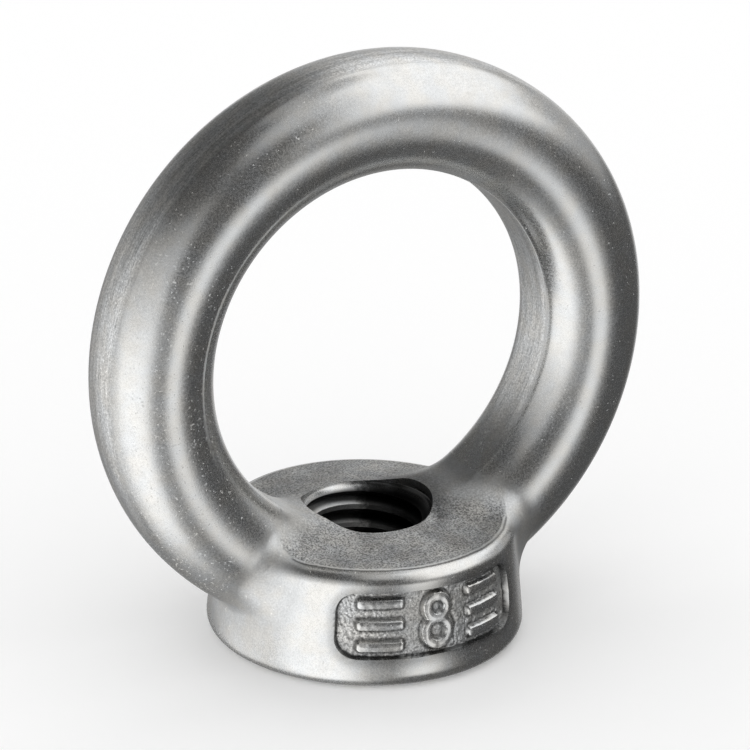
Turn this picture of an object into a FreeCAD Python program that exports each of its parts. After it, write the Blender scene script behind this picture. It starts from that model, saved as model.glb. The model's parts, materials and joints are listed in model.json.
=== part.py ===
"""Lifting eye nut for an M8 stud: one stainless casting, a round eye standing on a short threaded collar.

The origin is the centre of the collar's seating face. Z points up through the tapped hole and the middle
of the eye. The eye stands in the XZ plane, so a hook passes through it along Y, and the recessed size
panel looks along -Y. All lengths are in millimetres and all angles in degrees.
"""
import FreeCAD, Part
import math
import os
import Sketcher

Vector = FreeCAD.Vector

# Driving sizes: a name, its value and what it measures
SIZES = [
    ("foot_radius", 10.0, "collar radius where its side meets the seating plane"),
    ("rim_radius", 9.25, "collar radius where its side meets the top face"),
    ("collar_height", 7.4, "height of the top face at the rim"),
    ("foot_round", 1.05, "rounding of the lower edge"),
    ("rim_round", 0.8, "rounding of the upper edge"),
    ("crown", 0.5, "rise of the top face from the rim to the edge of the hole"),
    ("eye_radius", 14.87, "radius of the circle through the middle of the eye's section"),
    ("sunk_height", 4.1, "height of the middle of the eye's section where it is sunk in the collar"),
    ("section_radius", 3.75, "radius of the round flanks of the eye's section"),
    ("band_half_width", 1.63, "half the width of both ground bands"),
    ("outer_bulge", 0.193, "bulge of the ground band outside the eye, between its edges"),
    ("inner_bulge", 0.043, "bulge of the ground band inside the eye, between its edges"),
    ("band_edge_round", 1.2, "rounding of the edges of both ground bands"),
    ("root_round", 1.6, "fillet where the eye runs into the collar"),
    ("bore_radius", 3.32, "tapped hole at the crests of its thread"),
    ("mouth_radius", 4.1, "countersinks of the tapped hole where they meet the faces"),
    ("mouth_land", 0.1, "depth of the straight edge above the upper countersink"),
    ("panel_low", 1.97, "lower edge of the size panel"),
    ("panel_high", 6.2, "upper edge of the size panel"),
    ("panel_angle", 79.0, "angle round the collar that the size panel spans"),
    ("panel_depth", 0.4, "depth of the size panel"),
    ("panel_corner", 1.4, "rounding of the size panel's corners"),
    ("stroke", 0.66, "width of the raised strokes in the panel"),
    ("lower_loop", 1.16, "outer radius of the figure's lower loop"),
    ("upper_loop", 1.03, "outer radius of the figure's upper loop"),
    ("bar_spacing", 1.36, "height between the middles of two bars on a side"),
    ("bar_angle", 18.0, "angle round the collar that a bar spans"),
    ("bar_place", 22.5, "angle from the figure to the middle of a bar"),
    ("bar_corner", 0.25, "rounding of a bar's corners"),
    ("overrun", 1.0, "how far cutting shapes stand out past the metal"),
]

# Sizes worked out from the driving ones
EYE_HEIGHT = "(sizes.sunk_height + sizes.eye_radius)"
MOUTH_TOP = "(sizes.collar_height + sizes.crown)"
CROWN_TIP = "(sizes.collar_height + sizes.crown * sizes.rim_radius / (sizes.rim_radius - sizes.mouth_radius))"
COUNTERSINK = "(sizes.mouth_radius - sizes.bore_radius)"
SIDE = "(sizes.foot_radius - (sizes.foot_radius - sizes.rim_radius) * {0} / sizes.collar_height)"
FLANK = "sqrt(sizes.section_radius ^ 2 - sizes.band_half_width ^ 2)"
BAND_RADIUS = "((sizes.band_half_width ^ 2 + {0} ^ 2) / (2 * {0}))"
BAND_DROP = "(" + BAND_RADIUS + " - " + FLANK + " - {0})"
PANEL_MIDDLE = "((sizes.panel_low + sizes.panel_high) / 2)"
LEVEL_WITHIN = 1e-3

os.makedirs("parts", exist_ok=True)
doc = FreeCAD.newDocument("eye_nut_model")
sizes = doc.addObject("Spreadsheet::Sheet", "sizes")
for row, (name, value, meaning) in enumerate(SIZES, start=1):
    sizes.set("A%d" % row, name)
    sizes.set("B%d" % row, str(value))
    sizes.set("C%d" % row, meaning)
    sizes.setAlias("B%d" % row, name)
doc.recompute()


def amount(expression):
    """The present value of an expression in the sheet's names."""
    return float(sizes.evalExpression(expression.replace("sizes.", "")))


def new_sketch(body, name, role):
    """An empty sketch on the body's own origin plane of that role."""
    plane = [item for item in body.Origin.OriginFeatures if item.Role == role][0]
    sketch = body.newObject("Sketcher::SketchObject", name)
    sketch.AttachmentSupport = [(plane, "")]
    sketch.MapMode = "FlatFace"
    return sketch


def measure(sketch, kind, places, name, expression):
    """Add one named dimension to a sketch and tie it to the sheet."""
    number = sketch.addConstraint(Sketcher.Constraint(kind, *places, amount(expression)))
    sketch.renameConstraint(number, name)
    sketch.setExpression("Constraints." + name, expression)


def outline(sketch, corners, rounds=None):
    """A closed polygon, its corners given as pairs of expressions (across, up) and taken anticlockwise.

    The corners named in rounds get an arc of that radius, which touches both sides. Every corner point
    and every radius is tied to the sheet.
    """
    rounds = rounds or {}
    count = len(corners)
    points = [Vector(amount(across), amount(up), 0) for across, up in corners]
    starts, ends, tops = list(points), list(points), {}
    for i in rounds:
        to_last = (points[i - 1] - points[i]).normalize()
        to_next = (points[(i + 1) % count] - points[i]).normalize()
        half = to_last.getAngle(to_next) / 2
        radius = amount(rounds[i])
        ends[i] = points[i] + to_last * (radius / math.tan(half))
        starts[i] = points[i] + to_next * (radius / math.tan(half))
        tops[i] = points[i] + (to_last + to_next).normalize() * (radius / math.sin(half) - radius)
    for i in range(count):
        sketch.addGeometry(Part.LineSegment(starts[i], ends[(i + 1) % count]), False)
    for i, (across, up) in enumerate(corners):
        before = (i - 1) % count
        if i in rounds:
            arc = sketch.addGeometry(Part.Arc(ends[i], tops[i], starts[i]), False)
            tip = sketch.addGeometry(Part.Point(points[i]), True)
            sketch.addConstraint(Sketcher.Constraint("Tangent", before, 2, arc, 1))
            sketch.addConstraint(Sketcher.Constraint("Tangent", arc, 2, i, 1))
            sketch.addConstraint(Sketcher.Constraint("PointOnObject", tip, 1, before))
            sketch.addConstraint(Sketcher.Constraint("PointOnObject", tip, 1, i))
            measure(sketch, "Radius", (arc,), "round%d" % i, rounds[i])
        else:
            tip = i
            sketch.addConstraint(Sketcher.Constraint("Coincident", before, 2, i, 1))
        for kind, letter, axis, text in (("DistanceX", "x", -2, across), ("DistanceY", "y", -1, up)):
            if text == "0":
                sketch.addConstraint(Sketcher.Constraint("PointOnObject", tip, 1, axis))
            else:
                measure(sketch, kind, (-1, 1, tip, 1), letter + str(i), text)


def revolve(body, kind, name, sketch, axis, angle=None):
    """Turn a sketch about an axis, through a full circle or an angle split evenly about the sketch."""
    feature = body.newObject("PartDesign::" + kind, name)
    feature.Profile = sketch
    feature.ReferenceAxis = (sketch, [axis])
    feature.Angle = 360.0
    if angle:
        feature.Midplane = True
        feature.setExpression("Angle", angle)
    doc.recompute()
    return feature


def round_edges(body, name, base, chosen, radius):
    """Round the edges of a feature that the test picks out."""
    names = ["Edge%d" % i for i, edge in enumerate(base.Shape.Edges, start=1) if chosen(edge)]
    feature = body.newObject("PartDesign::Fillet", name)
    feature.Base = (base, names)
    feature.setExpression("Radius", radius)
    doc.recompute()
    return feature


def is_junction(edge):
    """The eye and the collar meet along free curves that climb. Every other edge is level or a circle."""
    climb = edge.BoundBox.ZMax - edge.BoundBox.ZMin
    return edge.Curve.TypeId == "Part::GeomBSplineCurve" and climb > LEVEL_WITHIN


def is_level_line(edge):
    """The corner edges of the recess and of its bars run level, straight out from the collar's axis."""
    climb = edge.BoundBox.ZMax - edge.BoundBox.ZMin
    return edge.Curve.TypeId == "Part::GeomLine" and climb < LEVEL_WITHIN


def is_bar_corner(edge):
    """A level line no further round the collar than the outer ends of the bars."""
    reach = amount("sizes.bar_place + sizes.bar_angle / 2 + 1")
    middle = edge.CenterOfMass
    return is_level_line(edge) and math.degrees(abs(math.atan2(middle.x, -middle.y))) < reach


# The collar is turned about Z. Its side leans in, and its top face rises a little towards the hole
casting = doc.addObject("PartDesign::Body", "casting")
collar_sketch = new_sketch(casting, "collar_sketch", "YZ_Plane")
outline(collar_sketch, [
    ("0", "0"),
    ("sizes.foot_radius", "0"),
    ("sizes.rim_radius", "sizes.collar_height"),
    ("0", CROWN_TIP),
], {1: "sizes.foot_round", 2: "sizes.rim_round"})
collar = revolve(casting, "Revolution", "collar", collar_sketch, "V_Axis")

# The eye's section has round flanks, and a nearly flat band ground along its outside and its inside.
# The edges of the bands are softened by small arcs that touch the flank and the band
section = new_sketch(casting, "section_sketch", "YZ_Plane")
centre = Vector(0, amount(EYE_HEIGHT), 0)
middle = Vector(0, amount(EYE_HEIGHT + " + sizes.eye_radius"), 0)
across = Vector(amount("sizes.band_half_width"), 0, 0)
flank, edge = amount("sizes.section_radius"), amount("sizes.band_edge_round")


def over_band(bulge):
    """Points over one band, with the band on top: its right edge arc's start, middle and end, then the top."""
    curve, drop = amount(BAND_RADIUS.format(bulge)), amount(BAND_DROP.format(bulge))
    height = ((curve - edge) ** 2 - (flank - edge) ** 2 - drop ** 2) / (2 * drop)
    arc_centre = Vector(math.sqrt((flank - edge) ** 2 - height ** 2), height, 0)
    from_flank = Vector(arc_centre).normalize()
    from_band = (arc_centre + Vector(0, drop, 0)).normalize()
    ways = (from_flank, (from_flank + from_band).normalize(), from_band)
    return [arc_centre + way * edge for way in ways] + [Vector(0, curve - drop, 0)]


def turned(points, right, up):
    """The points about the middle of the section, mirrored across or upside down where right or up is -1."""
    return [middle + Vector(point.x * right, point.y * up, 0) for point in points]


outer, inner = over_band("sizes.outer_bulge"), over_band("sizes.inner_bulge")
first, second = turned(outer, 1, 1), turned(outer, -1, 1)
third, fourth = turned(inner, -1, -1), turned(inner, 1, -1)
for start, top, end in (
    (fourth[0], middle + Vector(flank, 0, 0), first[0]),
    first[:3],
    (first[2], first[3], second[2]),
    second[2::-1],
    (second[0], middle - Vector(flank, 0, 0), third[0]),
    third[:3],
    (third[2], third[3], fourth[2]),
    fourth[2::-1],
):
    section.addGeometry(Part.Arc(start, top, end), False)
for arc in range(8):
    section.addConstraint(Sketcher.Constraint("Tangent", arc, 2, (arc + 1) % 8, 1))
section.addConstraint(Sketcher.Constraint("Coincident", 0, 3, 4, 3))
section.addConstraint(Sketcher.Constraint("Equal", 0, 4))
for arc in (0, 2, 6):
    section.addConstraint(Sketcher.Constraint("PointOnObject", arc, 3, -2))
for arc in (3, 5, 7):
    section.addConstraint(Sketcher.Constraint("Equal", 1, arc))
measure(section, "DistanceY", (-1, 1, 0, 3), "section_middle", EYE_HEIGHT + " + sizes.eye_radius")
measure(section, "Radius", (0,), "flank_radius", "sizes.section_radius")
measure(section, "Radius", (1,), "edge_radius", "sizes.band_edge_round")
for arc, name, heights in ((2, "outer", (2, 3, 0, 3)), (6, "inner", (0, 3, 6, 3))):
    bulge = "sizes.%s_bulge" % name
    measure(section, "Radius", (arc,), name + "_curve", BAND_RADIUS.format(bulge))
    measure(section, "DistanceY", heights, name + "_drop", BAND_DROP.format(bulge))

# The eye is that section turned about a level axle through the eye's centre
axle = section.addGeometry(Part.LineSegment(centre - across, centre + across), True)
section.addConstraint(Sketcher.Constraint("Symmetric", axle, 1, axle, 2, -2))
measure(section, "DistanceY", (-1, 1, axle, 1), "axle_height", EYE_HEIGHT)
measure(section, "DistanceX", (axle, 1, axle, 2), "axle_length", "2 * sizes.band_half_width")
eye = revolve(casting, "Revolution", "eye", section, "Axis0")
round_edges(casting, "root", eye, is_junction, "sizes.root_round")

# The hole is drilled through to the thread's crests and countersunk at both ends. The upper countersink
# ends in a straight edge, which keeps the mouth round and level where the legs of the eye rise beside it
hole_sketch = new_sketch(casting, "hole_sketch", "YZ_Plane")
outline(hole_sketch, [
    ("0", "-sizes.overrun"),
    ("sizes.mouth_radius + sizes.overrun", "-sizes.overrun"),
    ("sizes.bore_radius", COUNTERSINK),
    ("sizes.bore_radius", MOUTH_TOP + " - sizes.mouth_land - " + COUNTERSINK),
    ("sizes.mouth_radius", MOUTH_TOP + " - sizes.mouth_land"),
    ("sizes.mouth_radius", MOUTH_TOP + " + sizes.overrun"),
    ("0", MOUTH_TOP + " + sizes.overrun"),
])
revolve(casting, "Groove", "hole", hole_sketch, "V_Axis")

# The recess of the size panel is an even layer of the collar's leaning side, drawn as the metal taken out
recess = doc.addObject("PartDesign::Body", "recess")
layer_sketch = new_sketch(recess, "layer_sketch", "YZ_Plane")
low_side, high_side = SIDE.format("sizes.panel_low"), SIDE.format("sizes.panel_high")
outline(layer_sketch, [
    ("sizes.panel_depth - " + low_side, "sizes.panel_low"),
    ("sizes.panel_depth - " + high_side, "sizes.panel_high"),
    ("-sizes.overrun - " + high_side, "sizes.panel_high"),
    ("-sizes.overrun - " + low_side, "sizes.panel_low"),
])
layer = revolve(recess, "Revolution", "layer", layer_sketch, "V_Axis", "sizes.panel_angle")
round_edges(recess, "panel_corners", layer, is_level_line, "sizes.panel_corner")

# Three level bars stay standing on each side of the figure
for side_name, side in (("left", -1), ("right", 1)):
    for level_name, level in (("lower", -1), ("middle", 0), ("upper", 1)):
        name = "%s_%s_bar" % (side_name, level_name)
        bar_sketch = new_sketch(recess, name + "_sketch", "YZ_Plane")
        bar_sketch.AttachmentOffset = FreeCAD.Placement(Vector(), FreeCAD.Rotation(Vector(0, 1, 0), 0))
        bar_sketch.setExpression(".AttachmentOffset.Rotation.Angle", "%d * sizes.bar_place" % side)
        bottom = "%s + %d * sizes.bar_spacing - sizes.stroke / 2" % (PANEL_MIDDLE, level)
        outline(bar_sketch, [
            ("2 * sizes.overrun - sizes.rim_radius", bottom),
            ("2 * sizes.overrun - sizes.rim_radius", bottom + " + sizes.stroke"),
            ("-2 * sizes.overrun - sizes.foot_radius", bottom + " + sizes.stroke"),
            ("-2 * sizes.overrun - sizes.foot_radius", bottom),
        ])
        bar = revolve(recess, "Groove", name, bar_sketch, "V_Axis", "sizes.bar_angle")
round_edges(recess, "bar_corners", bar, is_bar_corner, "sizes.bar_corner")

# The figure is two round loops, one on the other, which also stay standing
LOOPS = (("lower", "lower_loop", "upper_loop", -1), ("upper", "upper_loop", "lower_loop", 1))
for name, own, other, way in LOOPS:
    level = "%s + %d * (sizes.%s - sizes.stroke / 2)" % (PANEL_MIDDLE, way, other)
    outer = amount("sizes." + own)
    loop_sketch = new_sketch(recess, name + "_loop_sketch", "XZ_Plane")
    for radius in (outer, outer - amount("sizes.stroke")):
        loop_sketch.addGeometry(Part.Circle(Vector(0, amount(level), 0), Vector(0, 0, 1), radius), False)
    loop_sketch.addConstraint(Sketcher.Constraint("Coincident", 0, 3, 1, 3))
    loop_sketch.addConstraint(Sketcher.Constraint("PointOnObject", 0, 3, -2))
    measure(loop_sketch, "DistanceY", (-1, 1, 0, 3), "level", level)
    measure(loop_sketch, "Radius", (0,), "outer", "sizes." + own)
    measure(loop_sketch, "Radius", (1,), "inner", "sizes.%s - sizes.stroke" % own)
    loop = recess.newObject("PartDesign::Pocket", name + "_loop")
    loop.Profile = loop_sketch
    loop.Type = "ThroughAll"
    loop.Midplane = True
    doc.recompute()

eye_nut = doc.addObject("Part::Cut", "eye_nut")
eye_nut.Label = "eye_nut"
eye_nut.Base = casting
eye_nut.Tool = recess
doc.recompute()

for item in doc.Objects:
    if "Invalid" in item.State or "Error" in item.State:
        raise RuntimeError(item.Label + " did not build")
if eye_nut.Shape.isNull() or not eye_nut.Shape.isValid():
    raise RuntimeError("eye_nut has no valid shape")
eye_nut.Shape.exportStep("parts/eye_nut.step")
print("solids %d, casting %.1f mm3, eye_nut %.1f mm3, recess %.2f mm3"
      % (len(eye_nut.Shape.Solids), casting.Shape.Volume, eye_nut.Shape.Volume, recess.Shape.Volume))
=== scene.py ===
# %% [markdown]
# # A cast stainless lifting eye nut
#
# The real object is one piece of cast stainless steel: a round eye that stands on a short collar, with a
# threaded hole right through the collar. It is tumbled to a satin, the parting line of the mould is ground
# off the eye, the top of the collar is left matt, and a shallow panel on the front holds raised marks.
#
# All of it is worked out here as surfaces: a skin that follows one smooth formula, and three cutters that
# are taken out of it, for the hole, for the thread and for the panel.

import json
import math

import bpy
import numpy as np
from mathutils import Matrix, Vector


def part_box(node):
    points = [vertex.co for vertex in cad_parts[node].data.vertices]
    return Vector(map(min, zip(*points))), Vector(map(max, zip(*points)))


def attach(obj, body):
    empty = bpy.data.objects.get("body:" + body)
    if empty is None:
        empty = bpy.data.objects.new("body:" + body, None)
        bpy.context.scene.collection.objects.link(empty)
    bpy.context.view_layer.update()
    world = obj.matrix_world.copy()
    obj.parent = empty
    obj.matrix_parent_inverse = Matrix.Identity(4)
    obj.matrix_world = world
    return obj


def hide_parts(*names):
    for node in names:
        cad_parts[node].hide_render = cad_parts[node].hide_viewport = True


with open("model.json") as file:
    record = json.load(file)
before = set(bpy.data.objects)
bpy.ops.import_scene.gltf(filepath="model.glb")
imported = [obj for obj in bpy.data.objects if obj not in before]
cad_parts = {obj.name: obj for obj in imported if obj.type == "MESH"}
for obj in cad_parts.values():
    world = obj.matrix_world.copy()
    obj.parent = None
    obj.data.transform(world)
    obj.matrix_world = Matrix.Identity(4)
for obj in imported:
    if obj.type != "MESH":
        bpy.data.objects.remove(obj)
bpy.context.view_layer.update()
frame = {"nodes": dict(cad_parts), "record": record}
print("the frame holds", sorted(frame["nodes"]))

# %% [markdown]
# ## Sizes
#
# The frame says how big the part is, so the sizes that it knows are read from it: the reach of the eye from
# the node's box, and the eye's middle and the hole's radius from the mounts. The others are a maker's sizes,
# in millimetres, as they would stand on a drawing. The mesh itself is in metres.

# %% Sizes from the frame, and the maker's sizes
MM = 0.001
mounts = {mount["name"]: mount for mount in frame["record"]["mounts"]}
_, box_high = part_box("eye_nut")

EYE_HEIGHT = mounts["eye"]["pos_m"][2] / MM
EYE_REACH = box_high.x / MM
CREST_RADIUS = mounts["stud_thread"]["dims"]["r_mm"]
COLLAR_HEIGHT = 7.4
FOOT_RADIUS = 10.0
RIM_RADIUS = 9.25
FOOT_ROUND = 1.05
RIM_ROUND = 0.8
CROWN = 0.5
MOUTH_RADIUS = 4.1
SECTION_RADIUS = 3.75
OUTER_GRIND = 0.18
INNER_GRIND = 0.33
BAND_HALF_WIDTH = 1.63
EYE_RADIUS = EYE_REACH - SECTION_RADIUS + OUTER_GRIND
MOUTH_HEIGHT = COLLAR_HEIGHT + CROWN
print("eye radius %.2f, eye height %.2f, crest radius %.2f" % (EYE_RADIUS, EYE_HEIGHT, CREST_RADIUS))

# %% [markdown]
# ## One formula for the whole skin
#
# A casting has no seams: the eye flows into the collar. A distance formula does that well. Each plain shape
# gives a number that is below zero inside the metal, zero on its surface and above zero outside. Where two
# shapes join, the two numbers are blended by a circle of the size of the real fillet, and the skin is where
# the blended number is zero. Modelling the eye and the collar as two meshes would leave a hard seam instead.


# %% Helpers that join and round distance formulas
def round_both(first, second, radius):
    """The shape inside both, edge rounded: the larger number or, near the edge, a circle of that radius."""
    reach = np.hypot(np.maximum(radius + first, 0), np.maximum(radius + second, 0))
    return np.minimum(-radius, np.maximum(first, second)) + reach


def round_either(first, second, radius):
    """The shape inside either, its inner corner filled: the same with inside and outside exchanged."""
    return -round_both(-first, -second, radius)


def soft_both(first, second, softness):
    """The shape inside both, where the two meet at a flat angle: the larger number plus a small parabola."""
    near = np.maximum(softness - np.abs(first - second), 0) / softness
    return np.maximum(first, second) + near * near * softness / 4


def slope(low, high, value):
    """A smooth step: 0 up to low, 1 from high, and three t squared less two t cubed between them."""
    t = np.clip((value - low) / (high - low), 0, 1)
    return t * t * (3 - 2 * t)


print("halfway, a smooth step is at %.2f" % slope(0, 1, 0.5))

# %% [markdown]
# ## Where the panel lies
#
# The panel's outline is a box with round corners, laid round the front of the collar like a label, so an
# angle is turned into a length of arc. The casting's dip round the panel, the panel's cutter and its finish
# all need the outline, so one function gives it to all three.

# %% The panel's outline on the collar
PANEL_LOW, PANEL_HIGH = 1.97, 6.2
PANEL_MIDDLE = (PANEL_LOW + PANEL_HIGH) / 2
PANEL_ANGLE = 79.0
PANEL_CORNER = 1.4


def side_radius(up):
    """Radius of the collar's leaning side at a height."""
    return FOOT_RADIUS - (FOOT_RADIUS - RIM_RADIUS) * up / COLLAR_HEIGHT


def rounded_box(across, up, half_width, half_height, corner):
    """Distance from a box with rounded corners: outside it the length of what is left past its sides."""
    x = np.abs(across) - half_width + corner
    y = np.abs(up) - half_height + corner
    return np.hypot(np.maximum(x, 0), np.maximum(y, 0)) + np.minimum(np.maximum(x, y), 0) - corner


def laid_flat(around, up):
    """Millimetres across and above the panel's middle: the arc of an angle there, and a height."""
    return np.radians(around) * side_radius(PANEL_MIDDLE), up - PANEL_MIDDLE


def panel_outline(around, up):
    """Distance from the panel's outline, a box with round corners laid round the collar."""
    half_width, _ = laid_flat(PANEL_ANGLE / 2, 0)
    return rounded_box(*laid_flat(around, up), half_width, (PANEL_HIGH - PANEL_LOW) / 2, PANEL_CORNER)


print("the panel is %.1f mm long" % (2 * laid_flat(PANEL_ANGLE / 2, 0)[0]))

# %% The dip of the casting round the panel
SHOULDER_DROP = 0.055
SHOULDER_START, SHOULDER_END = -0.1, 0.6


def panel_dip(x, y, z):
    """The casting sinks softly towards the panel: a smooth step from nothing to the shoulder's drop."""
    around = np.degrees(np.arctan2(x, -y))
    near = 1 - slope(SHOULDER_START, SHOULDER_END, panel_outline(around, z))
    return SHOULDER_DROP * near * (np.hypot(x, y) > FOOT_RADIUS / 2)


# %% [markdown]
# ## The collar and the eye
#
# The collar is a turned shape, so its distance needs only a radius and a height: it is inside three straight
# lines, with both rims rounded. The eye is a bent bar, its section a circle with two shallow arcs, where the
# mould's parting line was ground off. The bands are a hair deeper in some places, as work by hand is, which
# keeps their reflections from looking ruled.


# %% The collar as a distance
def line_distance(across, up, first, second):
    """Distance from the line through two points of the collar's half section, above zero on its right."""
    along = np.subtract(second, first) / np.hypot(*np.subtract(second, first))
    return (across - first[0]) * along[1] - (up - first[1]) * along[0]


def collar_distance(x, y, z):
    """The collar: inside its leaning side, crowned top and flat seat, both rims rounded by a circle."""
    across = np.hypot(x, y)
    side = line_distance(across, z, (FOOT_RADIUS, 0), (RIM_RADIUS, COLLAR_HEIGHT))
    top = line_distance(across, z, (RIM_RADIUS, COLLAR_HEIGHT), (MOUTH_RADIUS, MOUTH_HEIGHT))
    return round_both(round_both(side, top, RIM_ROUND), -z, FOOT_ROUND)


# %% The eye's section as a distance
OUTER_EDGE_SOFTNESS = 0.11
INNER_EDGE_SOFTNESS = 0.17
GRIND_DEPTH = 0.012
GRIND_WAVES = ((3, 1.0, 1.0), (7, 0.6, 0.0), (13, 0.4, 2.0))


def band_curve(grind):
    """Radius and offset of the shallow arc of a ground band, through its two edges and its ground middle."""
    edge = math.sqrt(SECTION_RADIUS ** 2 - BAND_HALF_WIDTH ** 2)
    bulge = SECTION_RADIUS - grind - edge
    radius = (BAND_HALF_WIDTH ** 2 + bulge ** 2) / (2 * bulge)
    return radius, radius - SECTION_RADIUS + grind


def grind_wave(x, z):
    """How much deeper or shallower the bands are ground: sine waves round the eye (count, share, start)."""
    turn = np.arctan2(x, z - EYE_HEIGHT)
    return GRIND_DEPTH * sum(share * np.sin(count * turn + start) for count, share, start in GRIND_WAVES)


def section_distance(out, across, wave=0):
    """The eye's section: a circle with a shallow arc ground along its outside and one along its inside."""
    flank = np.hypot(out, across) - SECTION_RADIUS
    outer_radius, outer_drop = band_curve(OUTER_GRIND)
    inner_radius, inner_drop = band_curve(INNER_GRIND)
    outer = np.hypot(out + outer_drop, across) - outer_radius + wave
    inner = np.hypot(out - inner_drop, across) - inner_radius - wave
    return soft_both(soft_both(flank, outer, OUTER_EDGE_SOFTNESS), inner, INNER_EDGE_SOFTNESS)


print("the outer ground band is an arc of %.1f mm" % band_curve(OUTER_GRIND)[0])

# %% The whole casting as a distance
ROOT_ROUND = 1.6
UNDER_ROUND = 0.5
UNDER_START, UNDER_FULL = 0.5, 0.95


def skin_distance(x, y, z):
    """Eye and collar joined by a fillet, which is tighter where the eye's outside meets the collar."""
    out = np.hypot(x, z - EYE_HEIGHT) - EYE_RADIUS
    under = slope(UNDER_START, UNDER_FULL, out / np.maximum(np.hypot(out, y), MM))
    fillet = ROOT_ROUND + (UNDER_ROUND - ROOT_ROUND) * under
    eye = section_distance(out, y, grind_wave(x, z))
    return round_either(eye, collar_distance(x, y, z), fillet) + panel_dip(x, y, z)


# %% [markdown]
# ## The skin as a grid
#
# The grid has two parameters. The first goes round the eye, the second round its section. For each pair a
# straight ray starts on the circle in the middle of the eye's section, and the skin lies where the formula
# turns zero along it. Every ray meets the skin once, at the collar too, so one closed grid holds it all.
# The rows are close together at the collar and wide apart round the plain eye, and the columns follow the
# rims of the collar, so that its edges stay crisp with few faces.

# %% Where the rows go
ROW_STRETCHES = ((24, 0.5), (40, 0.42), (52, 0.9), (180, 1.8))


def spread(*stretches):
    """Numbers from 0 on, each stretch given by its end and step and fitted to a whole number of steps."""
    values, start = [0.0], 0.0
    for end, step in stretches:
        count = max(1, round((end - start) / step))
        values.extend(start + (end - start) * np.arange(1, count + 1) / count)
        start = end
    return np.array(values)


half_rows = spread(*ROW_STRETCHES)
row_angles = np.radians(np.concatenate([-half_rows[:0:-1], half_rows])[1:])
print("%d rows go round the eye" % len(row_angles))

# %% Where the columns go
BAND_ANGLE = math.degrees(math.asin(BAND_HALF_WIDTH / SECTION_RADIUS))
EDGE_MARGIN = 4.5
RING_KNOTS = (180.0, 126.0, 109.0, 60.0, 42.0)
COLUMN_COUNTS = (9, 5, 11, 8, 26, 8, 6, 5, 9)
RIM_LEAVES, FOOT_LEAVES = (29, 40), (17, 27)
COLLAR_CIRCLES = (
    (RIM_RADIUS - RIM_ROUND, COLLAR_HEIGHT + CROWN / 6, *RIM_LEAVES),
    (side_radius(COLLAR_HEIGHT - RIM_ROUND), COLLAR_HEIGHT - RIM_ROUND, *RIM_LEAVES),
    (side_radius(FOOT_ROUND), FOOT_ROUND, *FOOT_LEAVES),
    (FOOT_RADIUS - FOOT_ROUND, 0.0, *FOOT_LEAVES),
)


def rim_knot(angle, across, up):
    """The ray's angle to a circle of the collar, given by its radius and height, in the plane of a row."""
    drop = EYE_HEIGHT - up
    x = drop * np.tan(angle)
    y = np.sqrt(np.maximum(across ** 2 - x ** 2, 0))
    return np.degrees(np.arctan2(y, drop / np.cos(angle) - EYE_RADIUS))


def column_angles(angle):
    """The ray angles of one half section for each row: columns spaced evenly between knots, which lie on the
    collar's rims, move apart where the row leaves the collar, and lie beside the edges of the bands."""
    knots = []
    for (across, up, leave, arrive), ring in zip(COLLAR_CIRCLES, RING_KNOTS[1:]):
        away = slope(leave, arrive, np.degrees(np.abs(angle)))
        reach = np.radians(arrive)
        knots.append(rim_knot(np.clip(angle, -reach, reach), across, up) * (1 - away) + ring * away)
    inner, outer = RING_KNOTS[0] - knots[0], knots[-1]
    edges = BAND_ANGLE + EDGE_MARGIN * np.array([-1, 1])
    inner_shares = [0, *edges / (RING_KNOTS[0] - RING_KNOTS[1])]
    outer_shares = [*edges[::-1] / RING_KNOTS[-1], 0]
    knots = ([RING_KNOTS[0] - inner * share for share in inner_shares] + knots
             + [outer * share for share in outer_shares])
    columns = []
    for start, end, count in zip(knots, knots[1:], COLUMN_COUNTS):
        columns.append(start[:, None] + (end - start)[:, None] * np.arange(count) / count)
    return np.concatenate(columns + [knots[-1][:, None]], axis=1)


half = np.radians(column_angles(row_angles))
ray_angles = np.concatenate([half, -half[:, -2:0:-1]], axis=1)
print("the skin's grid has %d rows and %d columns" % ray_angles.shape)

# %% Find the skin along every ray
HALVINGS = 44


def ray_points(along, angle, length):
    """Points at a length along each ray: from the section's middle circle, out from the eye and across it."""
    out = EYE_RADIUS + length * np.cos(angle)
    return out * np.sin(along), length * np.sin(angle), EYE_HEIGHT - out * np.cos(along)


def skin_lengths(along, angle):
    """How long each ray is, by halving the stretch that holds the skin again and again."""
    near, far = np.zeros(angle.shape), np.full(angle.shape, 2 * FOOT_RADIUS)
    for _ in range(HALVINGS):
        middle = (near + far) / 2
        inside = skin_distance(*ray_points(along, angle, middle)) < 0
        near, far = np.where(inside, middle, near), np.where(inside, far, middle)
    return (near + far) / 2


along_rows = np.broadcast_to(row_angles[:, None], ray_angles.shape)
skin_grid = np.stack(ray_points(along_rows, ray_angles, skin_lengths(along_rows, ray_angles)), axis=-1)
print("the skin reaches from", skin_grid.min((0, 1)).round(3), "to", skin_grid.max((0, 1)).round(3))


# %% Helpers that turn a grid into a mesh
def grid_faces(rows, columns, close_rows=False, close_columns=True):
    """Four corners for each cell of a grid, as indices, with the last row or column joined to the first."""
    index = np.arange(rows * columns).reshape(rows, columns)
    if close_rows:
        index = np.vstack([index, index[:1]])
    if close_columns:
        index = np.hstack([index, index[:, :1]])
    corners = (index[:-1, :-1], index[1:, :-1], index[1:, 1:], index[:-1, 1:])
    return np.stack([corner.ravel() for corner in corners], axis=1)


def make_piece(name, points, faces):
    """A mesh object in metres from points in millimetres and faces given as lists of indices."""
    mesh = bpy.data.meshes.new(name)
    mesh.from_pydata((np.asarray(points).reshape(-1, 3) * MM).tolist(), [], [list(face) for face in faces])
    mesh.validate()
    piece = bpy.data.objects.new(name, mesh)
    bpy.context.scene.collection.objects.link(piece)
    return piece


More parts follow.
